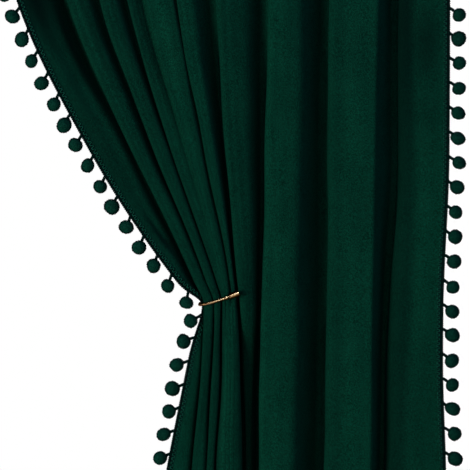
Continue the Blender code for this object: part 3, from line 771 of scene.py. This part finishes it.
def add_tape(shape, edge):
    """Adds the thin tape that the braid is worked on.  It laps onto the face of the cloth."""
    distances = np.linspace(0.0, edge.length, int(edge.length / TAPE_STEP))
    point, _, out, forward, _ = edge.read(distances)
    middle = (SEAM_GAP + TAPE_WIDTH - TAPE_LAP) / 2
    half_width = (SEAM_GAP + TAPE_WIDTH + TAPE_LAP) / 2 - TAPE_EDGE_MARGIN
    corners = np.array([[-1, -1], [1, -1], [1, 1], [-1, 1]]) * (half_width, TAPE_THICKNESS / 2)
    aside, lift = middle + corners[:, :1], TAPE_LIFT + corners[:, 1:]
    rings = point[:, None] + out[:, None] * aside + forward[:, None] * lift
    lengths = np.stack(np.broadcast_arrays(distances[:, None], corners[:, 0]), axis=-1)
    numbers = shape.add(rings, lengths)
    turned = np.sum(np.cross(out[0], forward[0]) * edge.ways[0][0]) > 0
    order = 1 if turned else -1
    shape.join(quads_over(numbers[:, ::order], wrap=True))
    shape.join(numbers[:1, ::-order])
    shape.join(numbers[-1:, ::order])


def make_gimp(name, edge, material):
    """The looped thread of the braid, on the half of the tape that lies on the cloth.

    It goes from side to side as a sine cut off at its tops, so its crossings stand like rungs, and
    lifts over the tape's front at each crossing.
    """
    shape = Shape()
    steps = int(edge.length / LOOP_PITCH) * LOOP_STEPS
    distances = np.linspace(0.0, edge.length, steps)
    point, _, out, forward, _ = edge.read(distances)
    turn = 2 * np.pi * distances / LOOP_PITCH
    swing = LOOP_MIDDLE + LOOP_SWING * np.clip(LOOP_SHARPNESS * np.sin(turn), -1.0, 1.0)
    lift = TAPE_LIFT + LOOP_LIFT + CROSSING_LIFT * np.abs(np.cos(turn))
    path = point + out * swing[:, None] + forward * lift[:, None]
    add_tubes(shape, path[None], forward[None], LOOP_RADIUS, LOOP_RADIUS, 4)
    return shape.make(name, material)


def ball_places(edge, trim):
    """Where each pom-pom's stem starts, its centre and radius, and its own three ways, stem's first."""
    numbers = np.arange(trim["count"])
    caught = trim["caught"] * (numbers > trim["caught_after"])
    roots = trim["first"] + trim["pitch"] * numbers + caught
    uneven = np.random.default_rng(trim["seed"]).uniform(-1.0, 1.0, (trim["count"], 4))
    point, down, out, forward, hang = edge.read(roots)
    shift = uneven * (SIZE_UNEVENNESS, POM_UNEVENNESS, POM_UNEVENNESS, POM_UNEVENNESS)
    start = point + out * (SEAM_GAP + TAPE_WIDTH - OUTER_CORD_RADIUS) + forward * TAPE_LIFT / 2
    outward = point + out * (SEAM_GAP + TAPE_WIDTH) + hang * (POM_OUT + shift[:, 1:2])
    centre = outward + down * (POM_DOWN + shift[:, 2:3]) + np.cross(hang, down) * shift[:, 3:4]
    way = unit(centre - start)
    upward = unit(np.cross(forward, way))
    return start, centre, POM_RADIUS + shift[:, 0], way, upward, np.cross(way, upward)


def make_cords(name, edge, trim, material):
    """The dark tape of the braid, the cord that waves down its outer side, and the pom-poms' stems.

    The cord swings by a short sine of its own pitch.  A stem's two plies turn round its line,
    which sags a little by a sine, as two helices.
    """
    shape = Shape()
    add_tape(shape, edge)
    distances = np.linspace(0.0, edge.length, int(edge.length / CORD_WAVE * CORD_STEPS))
    point, _, out, forward, _ = edge.read(distances)
    swing = OUTER_CORD_SWING * np.sin(2 * np.pi * distances / CORD_WAVE)
    place = SEAM_GAP + TAPE_WIDTH - OUTER_CORD_RADIUS + swing
    path = point + out * place[:, None] + forward * (TAPE_LIFT + CORD_LIFT)
    add_tubes(shape, path[None], forward[None], OUTER_CORD_RADIUS, CORD_RADIUS, CORD_SIDES)

    start, centre, radius, way, upward, sideways = ball_places(edge, trim)
    rng = np.random.default_rng(trim["seed"] + STEM_SEED)
    share = np.linspace(0.0, 1.0, STEM_POINTS)[None, :, None]
    foot = centre - way * (radius * CORE_SHARE * STEM_FOOT)[:, None]
    line = start[:, None] * (1 - share) + foot[:, None] * share
    sags = rng.uniform(-STEM_SAG, STEM_SAG, (len(centre), 1, 1))
    sag = np.sin(np.pi * share) * sags * upward[:, None]
    for ply in (0.0, np.pi):
        turn = 2 * np.pi * STEM_TURNS * share + ply
        offset = upward[:, None] * np.cos(turn) + sideways[:, None] * np.sin(turn)
        path = line + sag + offset * (STEM_THICKNESS / 2 - PLY_RADIUS)
        reference = np.broadcast_to(sideways[:, None], path.shape)
        add_tubes(shape, path, reference, PLY_RADIUS, PLY_RADIUS, CORD_SIDES)
    return shape.make(name, material)


def spiral_ways(count):
    """Ways spread evenly over a ball: equal steps along its axis, each a golden angle further round."""
    step = np.arange(count) + 0.5
    height = 1 - 2 * step / count
    angle = np.pi * (1 + math.sqrt(5)) * step
    ring = np.sqrt(1 - height**2)
    return np.stack([height, ring * np.cos(angle), ring * np.sin(angle)], axis=-1)


def make_pompoms(name, edge, trim, material):
    """All the pom-poms of an edge: a lumpy core, and tufts of yarn all over it.

    A core's radius swells by a sum of slanting waves.  A tuft is a narrow four-sided spike on the
    core, its tip drawn aside at random.
    """
    _, centre, radius, way, upward, sideways = ball_places(edge, trim)
    axes = np.stack([way, upward, sideways], axis=1)
    rng = np.random.default_rng(trim["seed"] + CORE_SEED)
    count = len(centre)
    shape = Shape()

    stretch = 1.0 + rng.uniform(-BALL_STRETCH, BALL_STRETCH, (count, 1, 3))
    lumps = rng.uniform(-LUMP_SLANT, LUMP_SLANT, (count, LUMP_WAVES, 3))
    phases = rng.uniform(0.0, 2 * np.pi, (count, LUMP_WAVES, 1))

    def on_ball(ways, reach):
        """Points in the ball's own axes, at a reach of its swelling radius along each way."""
        turns = np.einsum("bkc,bnc->bkn", lumps, ways) * LUMP_CLOSENESS + phases
        waves = np.sin(turns).sum(axis=1) * LUMP_HEIGHT
        local = ways * stretch * ((1 + waves) * reach * radius[:, None])[:, :, None]
        return centre[:, None] + np.einsum("bnc,bcd->bnd", local, axes)

    tilt = np.pi * (np.arange(CORE_RINGS) + 0.5) / CORE_RINGS
    spoke = 2 * np.pi * np.arange(CORE_SPOKES) / CORE_SPOKES
    ring = np.sin(tilt)[:, None]
    height = np.broadcast_to(np.cos(tilt)[:, None], (CORE_RINGS, CORE_SPOKES))
    rings = np.stack([height, ring * np.cos(spoke), ring * np.sin(spoke)], axis=-1).reshape(1, -1, 3)
    poles = np.array([[[1.0, 0.0, 0.0], [-1.0, 0.0, 0.0]]])
    rings, poles = np.repeat(rings, count, axis=0), np.repeat(poles, count, axis=0)
    core = shape.add(on_ball(rings, CORE_SHARE)).reshape(count, CORE_RINGS, CORE_SPOKES)
    tips = shape.add(on_ball(poles, CORE_SHARE))
    shape.join(quads_over(core, wrap=True))
    for end, row, order in ((0, 0, -1), (1, -1, 1)):
        first, following = core[:, row], np.roll(core[:, row], -1, axis=-1)
        pole = np.broadcast_to(tips[:, end : end + 1], first.shape)
        fan = [first, following, pole][::order]
        shape.join(np.stack(fan, axis=-1).reshape(-1, 3))

    ways = unit(spiral_ways(TUFTS) + rng.normal(0.0, TUFT_SCATTER, (count, TUFTS, 3)))
    tangent = unit(np.cross(ways, rng.normal(size=(count, TUFTS, 3))))
    other = np.cross(ways, tangent)
    width = TUFT_WIDTH / POM_RADIUS * rng.uniform(*TUFT_WIDTHS, (count, TUFTS, 1))
    base = [unit(ways + way * width) for way in (tangent, other, -tangent, -other)]
    drawn = rng.normal(0.0, TUFT_SPREAD, (2, count, TUFTS, 1))
    tip = unit(ways + tangent * drawn[0] + other * drawn[1])
    reach = rng.uniform(*TUFT_REACHES, (count, TUFTS))
    numbers = [shape.add(on_ball(corner, CORE_SHARE * TUFT_FOOT)) for corner in base]
    ends = shape.add(on_ball(tip, reach))
    for corner, following in zip(numbers, [*numbers[1:], numbers[0]]):
        shape.join(np.stack([corner, following, ends], axis=-1).reshape(-1, 3))
    shape.join(np.stack(numbers[::-1], axis=-1).reshape(-1, 4))
    balls = shape.make(name, material, smooth=False)
    # Each point's way out from its ball's centre, for the painted shade round the rim
    outward = [unit(points.reshape(count, -1, 3) - centre[:, None]).ravel() for points in shape.points]
    layer = balls.data.attributes.new(name="outward", type="FLOAT_VECTOR", domain="POINT")
    layer.data.foreach_set("vector", np.concatenate(outward))
    return balls


# Hook -------------------------------------------------------------------------------------------


def arm_height(x):
    """Drop of the front arm at x: it climbs from the bend ever more steeply towards the finial."""
    return BEND_DROP - ARM_RISE * (np.maximum(x - BEND_X, 0.0) / ARM_REACH) ** ARM_CURVE


def arm_way(x):
    """Direction of the front arm at x."""
    step = 0.5
    return unit(np.array((2 * step, 0.0, arm_height(x - step) - arm_height(x + step))))


def hook_levels():
    """y of the front arm and of the back leg: each stands just clear of the gathered cloth."""
    return FRONT_PLANE_Y - HOOK_CLOTH / 2 - HOOK_GAP - ROD_RADIUS, FRONT_PLANE_Y + BACK_LEG_BACK


def bend(centre, radius, start_angle, end_angle):
    """Points (points, 2) of a bend seen from above, from one angle to the other."""
    angle = np.radians(np.linspace(start_angle, end_angle, BEND_POINTS))
    return np.stack([centre[0] + radius * np.cos(angle), centre[1] + radius * np.sin(angle)], axis=-1)


def make_rod(material):
    """The hook's bent rod: front arm, U bend behind the leading edge, back leg, and post to the wall."""
    front, back = hook_levels()
    turn = BEND_X + BEND_RADIUS
    arm_x = np.linspace(ARM_END_X, turn, ARM_POINTS, endpoint=False)
    plan = np.concatenate(
        [
            np.stack([arm_x, np.full_like(arm_x, front)], axis=-1),
            bend((turn, front + BEND_RADIUS), BEND_RADIUS, 270, 180),
            bend((turn, back - BEND_RADIUS), BEND_RADIUS, 180, 90),
            bend((POST_X - POST_BEND_RADIUS, back + POST_BEND_RADIUS), POST_BEND_RADIUS, 270, 360),
            [(POST_X, WALL_Y - PLATE_THICKNESS - PART_GAP)],
        ]
    )
    drop = np.where(plan[:, 1] < front + BEND_RADIUS / 2, arm_height(plan[:, 0]), BEND_DROP)
    path = np.column_stack([plan, -drop])[None]
    shape = Shape()
    add_tubes(shape, path, np.array((0.0, 0.0, 1.0)), ROD_RADIUS, ROD_RADIUS, ROD_SIDES)
    return shape.make("brass_rod", material)


def turned(name, profile, place, way, material, sides=TURNED_SIDES):
    """A turned solid: a closed profile of (along, radius) carried round an axis.

    A profile that starts and ends on the axis is closed by a fan at each end; any other makes a ring.
    """
    profile = np.array(profile)
    reference = np.array((0.0, 0.0, 1.0)) if abs(way[2]) < 0.9 else np.array((1.0, 0.0, 0.0))
    upward = unit(reference - np.dot(reference, way) * way)
    sideways = np.cross(way, upward)
    angle = 2 * np.pi * np.arange(sides) / sides
    spokes = upward * np.cos(angle)[:, None] + sideways * np.sin(angle)[:, None]
    shape = Shape()
    on_axis = profile[0, 1] == 0
    rings = profile[1:-1] if on_axis else profile
    numbers = shape.add(place + way * rings[:, :1, None] + spokes * rings[:, 1:, None])
    if on_axis:
        shape.join(quads_over(numbers, wrap=True))
        ends = shape.add(place + way * profile[[0, -1], :1])
        for end, ring, order in ((0, numbers[0], -1), (1, numbers[-1], 1)):
            fan = [ring, np.roll(ring, -1), np.full(sides, ends[end])][::order]
            shape.join(np.stack(fan, axis=-1))
    else:
        shape.join(quads_over(np.vstack([numbers, numbers[:1]]), wrap=True))
    obj = shape.make(name, material)
    obj.data.set_sharp_from_angle(angle=SHARP_ANGLE)
    return obj


def eased_corner(along, radius, ease, start_angle, steps=4):
    """Points of a small rounded corner of a turned profile, centred at (along, radius)."""
    angle = np.radians(np.linspace(start_angle, start_angle - 90, steps))
    return [(along + ease * math.cos(a), radius + ease * math.sin(a)) for a in angle]


def make_finial(material):
    """Cylinder that ends the front arm, with a fine groove near each end and eased edges."""
    way = arm_way(ARM_END_X)
    place = np.array((ARM_END_X, hook_levels()[0], -arm_height(ARM_END_X))) + way * PART_GAP
    ease, groove = FINIAL_EASE, FINIAL_GROOVE
    profile = [(0.0, 0.0), (0.0, FINIAL_RADIUS - ease)]
    profile += eased_corner(ease, FINIAL_RADIUS - ease, ease, 180)[1:]
    for at in FINIAL_GROOVES:
        profile += [(at - groove, FINIAL_RADIUS), (at, FINIAL_RADIUS - groove), (at + groove, FINIAL_RADIUS)]
    profile += eased_corner(FINIAL_LENGTH - ease, FINIAL_RADIUS - ease, ease, 90)
    profile.append((FINIAL_LENGTH, 0.0))
    return turned("brass_finial", profile, place, way, material)


def make_collar(material):
    """Turned ring round the front arm, just before the finial."""
    bore, half, ease = ROD_RADIUS + PART_GAP, COLLAR_LENGTH / 2, COLLAR_EASE
    profile = [(-half, bore)]
    profile += eased_corner(-half + ease, COLLAR_RADIUS - ease, ease, 180)
    profile += eased_corner(half - ease, COLLAR_RADIUS - ease, ease, 90)
    profile.append((half, bore))
    place = np.array((COLLAR_X, hook_levels()[0], -arm_height(COLLAR_X)))
    return turned("brass_collar", profile, place, arm_way(COLLAR_X), material)


def make_plate(material):
    """Round wall plate, flat against the wall behind the gathered cloth."""
    ease = PLATE_EASE
    profile = [(0.0, 0.0), (0.0, PLATE_RADIUS - ease)]
    profile += eased_corner(ease, PLATE_RADIUS - ease, ease, 180)[1:]
    profile += [(PLATE_THICKNESS, PLATE_RADIUS), (PLATE_THICKNESS, 0.0)]
    place = np.array((POST_X, WALL_Y - PLATE_THICKNESS, -BEND_DROP))
    return turned("brass_plate", profile, place, np.array((0.0, 1.0, 0.0)), material, PLATE_SIDES)


# Materials --------------------------------------------------------------------------------------


class Finish:
    """A Principled material under construction, and short ways to add its pattern nodes."""

    def __init__(self, name, **constants):
        self.material = bpy.data.materials.new(name)
        self.material.use_nodes = True
        self.tree = self.material.node_tree
        self.shader = self.tree.nodes["Principled BSDF"]
        for socket, value in constants.items():
            self.shader.inputs[socket.replace("_", " ")].default_value = value
        self.places = self.tree.nodes.new("ShaderNodeTexCoord")

    def node(self, kind, links=(), **values):
        """A node with some sockets linked and others set."""
        made = self.tree.nodes.new(kind)
        for name, value in values.items():
            made.inputs[name].default_value = value
        for name, source in dict(links).items():
            self.tree.links.new(source, made.inputs[name])
        return made

    def noise(self, scale, detail=3.0, roughness=0.55, stretch=(1.0, 1.0, 1.0)):
        """Soft noise with so many blotches a metre, on the object's own coordinates."""
        mapping = self.node("ShaderNodeMapping", {"Vector": self.places.outputs["Object"]}, Scale=stretch)
        links = {"Vector": mapping.outputs["Vector"]}
        made = self.node("ShaderNodeTexNoise", links, Scale=scale, Detail=detail, Roughness=roughness)
        return made.outputs["Fac"]

    def stored(self, name, kind="Fac"):
        """A value or a vector stored on the points of the mesh."""
        made = self.tree.nodes.new("ShaderNodeAttribute")
        made.attribute_name = name
        return made.outputs[kind]

    def spread(self, source, low, high, out_low, out_high):
        """A value moved from one range to another and held inside it."""
        made = self.node("ShaderNodeMapRange", {"Value": source})
        ends = {"From Min": low, "From Max": high, "To Min": out_low, "To Max": out_high}
        for name, value in ends.items():
            made.inputs[name].default_value = value
        return made.outputs["Result"]

    def blend(self, share, first, second):
        """A colour between two, by a share; either may be a fixed colour or another node's."""
        made = self.tree.nodes.new("ShaderNodeMix")
        made.data_type = "RGBA"
        self.tree.links.new(share, made.inputs["Factor"])
        for socket, colour in ((made.inputs[6], first), (made.inputs[7], second)):
            if isinstance(colour, tuple):
                socket.default_value = (*colour, 1.0)
            else:
                self.tree.links.new(colour, socket)
        return made.outputs[2]

    def relief(self, height, distance, strength=1.0, under=None):
        """Relief from a height, over any relief already there."""
        made = self.node("ShaderNodeBump", {"Height": height}, Strength=strength, Distance=distance)
        if under is not None:
            self.tree.links.new(under, made.inputs["Normal"])
        return made.outputs["Normal"]

    def set(self, socket, source):
        """Links a pattern to a socket of the shader."""
        self.tree.links.new(source, self.shader.inputs[socket])


def velvet_finish():
    """Bottle-green velvet: fine pale tips over soft patches, and painted shade where the stored shares
    darken it.
    """
    finish = Finish(
        "bottle_green_velvet",
        Roughness=0.95,
        Specular_IOR_Level=0.0,
        Sheen_Weight=0.006,
        Sheen_Roughness=0.5,
        Sheen_Tint=VELVET_SHEEN,
    )
    patches = finish.noise(34.0, detail=2.0, stretch=(1.0, 1.0, 0.55))
    # The fine pile's pale tips, a colour of the cloth itself
    nap_and_painted_shade = finish.noise(420.0, detail=4.0, roughness=0.7)
    colour = finish.blend(finish.spread(patches, 0.36, 0.66, 0.0, 1.0), VELVET_SHADE, VELVET_LIGHT)
    colour = finish.blend(finish.spread(nap_and_painted_shade, 0.40, 0.62, 0.0, 0.85), colour, VELVET_TIPS)
    # Painted shade: darker where the stored shares say
    finish.set("Base Color", finish.blend(finish.stored("nap_and_painted_shade"), colour, VELVET_PAINTED_SHADE))
    soft = finish.relief(patches, 0.004, strength=0.22)
    fine = finish.relief(nap_and_painted_shade, 0.0016, strength=0.5, under=soft)
    pile = finish.noise(1500.0, detail=2.0)
    finish.set("Normal", finish.relief(pile, 0.0004, strength=0.45, under=fine))
    return finish.material


def yarn_finish(name, dark, light, scale, rim):
    """Dull green yarn: fibres lighter and darker along their run.

    A ball of tufts takes painted shade round its rim, where its stored outward way turns from the eye.
    """
    finish = Finish(
        name,
        Roughness=0.95,
        Specular_IOR_Level=0.0,
        Sheen_Weight=0.006,
        Sheen_Roughness=0.5,
        Sheen_Tint=YARN_SHEEN,
    )
    flecks = finish.noise(scale, detail=4.0, roughness=0.65)
    yarn = finish.blend(finish.spread(flecks, 0.35, 0.68, 0.0, 1.0), dark, light)
    if rim is not None:
        # Painted shade round the ball's outline
        outward = {"Normal": finish.stored("outward", "Vector")}
        turned_away = finish.node("ShaderNodeLayerWeight", outward, Blend=0.5)
        rim_shade_share = finish.spread(turned_away.outputs["Facing"], 0.3, 0.62, 0.0, 0.9)
        yarn = finish.blend(rim_shade_share, yarn, rim)
    finish.set("Base Color", yarn)
    fibres = finish.noise(2400.0, detail=2.0)
    finish.set("Normal", finish.relief(fibres, 0.0003, strength=0.6))
    return finish.material


def brass_finish():
    """Lightly aged brass: browner in patches, with painted shade by the bend and where it turns from the
    eye.
    """
    finish = Finish("aged_brass", Metallic=1.0, Specular_Tint=BRASS_EDGE_TINT)
    age = finish.noise(110.0, detail=5.0, roughness=0.6)
    colour = finish.blend(finish.spread(age, 0.45, 0.74, 0.0, 0.8), BRASS_BRIGHT, BRASS_BROWN)
    # Painted shade: dark where the brass turns from the eye
    turned_away = finish.node("ShaderNodeLayerWeight", Blend=0.5)
    painted_dark_side = finish.spread(turned_away.outputs["Facing"], 0.0, 0.08, 0.0, 1.0)
    colour = finish.blend(painted_dark_side, colour, BRASS_PAINTED_DARK_SIDE)
    # Painted shade: darker towards the bend
    place = finish.node("ShaderNodeSeparateXYZ", {"Vector": finish.places.outputs["Object"]})
    shade_by_bend = finish.spread(place.outputs["X"], 0.016, 0.036, 0.8, 0.0)
    finish.set("Base Color", finish.blend(shade_by_bend, colour, BRASS_SHADE_BY_BEND))
    finish.set("Roughness", finish.spread(age, 0.35, 0.72, 0.12, 0.22))
    brushing = finish.noise(1800.0, detail=2.0, stretch=(0.12, 1.0, 1.0))
    finish.set("Normal", finish.relief(brushing, 0.00012, strength=0.12))
    return finish.material


# Stage ------------------------------------------------------------------------------------------


def add_light(name, way, distance, size, strength, shows_in):
    """A square soft light, so far from the middle of the drape along a way, and turned to it.

    strength is how brightly it lights a white wall that faces it, with a plain white sky as 1.
    """
    lamp = bpy.data.lights.new(name, "AREA")
    lamp.shape = "SQUARE"
    lamp.size = size
    lamp.energy = strength * (math.pi * distance) ** 2
    light = bpy.data.objects.new(name, lamp)
    place = STAGE_MIDDLE + unit(np.array(way)) * distance
    light.location = place
    light.rotation_euler = Vector(STAGE_MIDDLE - place).to_track_quat("-Z", "Y").to_euler()
    light.visible_diffuse = shows_in == "cloth"
    light.visible_glossy = shows_in == "metal"
    bpy.context.scene.collection.objects.link(light)


def surroundings():
    """Plain white as the camera sees it, a cooler light on the cloth, and dim and warm in metal."""
    world = bpy.data.worlds.new("studio")
    bpy.context.scene.world = world
    world.use_nodes = True
    nodes, links = world.node_tree.nodes, world.node_tree.links
    seen = nodes["Background"]
    seen.inputs["Color"].default_value = (1.0, 1.0, 1.0, 1.0)
    ray = nodes.new("ShaderNodeLightPath")
    cast = {}
    for row in SURROUNDINGS:
        light = dict(zip(SURROUND_COLUMNS, row))
        made = cast[light["shows_in"]] = nodes.new("ShaderNodeBackground")
        made.inputs["Color"].default_value = (*light["colour"], 1.0)
        made.inputs["Strength"].default_value = light["strength"]
    unseen, all_rays = nodes.new("ShaderNodeMixShader"), nodes.new("ShaderNodeMixShader")
    links.new(ray.outputs["Is Glossy Ray"], unseen.inputs["Fac"])
    links.new(cast["cloth"].outputs["Background"], unseen.inputs[1])
    links.new(cast["metal"].outputs["Background"], unseen.inputs[2])
    links.new(ray.outputs["Is Camera Ray"], all_rays.inputs["Fac"])
    links.new(unseen.outputs["Shader"], all_rays.inputs[1])
    links.new(seen.outputs["Background"], all_rays.inputs[2])
    links.new(all_rays.outputs["Shader"], nodes["World Output"].inputs["Surface"])


def light_stage():
    """White surroundings, lights from front left and front, a card that metal mirrors, and a floor."""
    surroundings()
    for row in LIGHTS:
        add_light(**dict(zip(LIGHT_COLUMNS, row)))

    floor = bpy.data.meshes.new("floor")
    left, right, front, back = FLOOR_SPAN
    corners = [(left, front), (right, front), (right, back), (left, back)]
    floor.from_pydata([(x, y, FLOOR_Z) for x, y in corners], [], [(0, 1, 2, 3)])
    paint = Finish("pale_floor", Roughness=0.9, Base_Color=FLOOR_PAINT)
    floor.materials.append(paint.material)
    floor_object = bpy.data.objects.new("floor", floor)
    bpy.context.scene.collection.objects.link(floor_object)


def set_camera():
    """A long lens level with the hook, square to the drape."""
    lens = bpy.data.cameras.new("camera")
    lens.lens = CAMERA_LENS
    lens.clip_end = CAMERA_REACH
    camera = bpy.data.objects.new("camera", lens)
    camera.location = CAMERA_PLACE
    camera.rotation_euler = (math.pi / 2, 0.0, 0.0)
    bpy.context.scene.collection.objects.link(camera)
    bpy.context.scene.camera = camera
    bpy.context.scene.view_settings.view_transform = "Standard"


def dress():
    """Makes every piece and hides the CAD parts that it stands in for."""
    grid, across, down, nap_and_painted_shade = hang_cloth()
    panel = make_panel(grid, across, down, nap_and_painted_shade, velvet_finish())
    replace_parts(panel, "drape")
    gimp, wool, cord = (yarn_finish(**dict(zip(YARN_COLUMNS, row))) for row in YARNS)
    trims = []
    for end, edge, trim in (
        ("leading", Edge(grid[:, 0], grid[:, 1], -1.0), LEADING_TRIM),
        ("trailing", Edge(grid[:, -1], grid[:, -2], 1.0), TRAILING_TRIM),
    ):
        trims.append(make_gimp(f"gimp_{end}", edge, gimp))
        trims.append(make_cords(f"cords_{end}", edge, trim, cord))
        trims.append(make_pompoms(f"pompoms_{end}", edge, trim, wool))
        for piece in trims[-3:]:
            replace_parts(piece, f"fringe_{end}")

    brass = brass_finish()
    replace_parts(make_rod(brass), "holdback_rod")
    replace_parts(make_collar(brass), "holdback_collar")
    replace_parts(make_finial(brass), "holdback_finial")
    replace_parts(make_plate(brass), "holdback_plate")


dress()
light_stage()
set_camera()
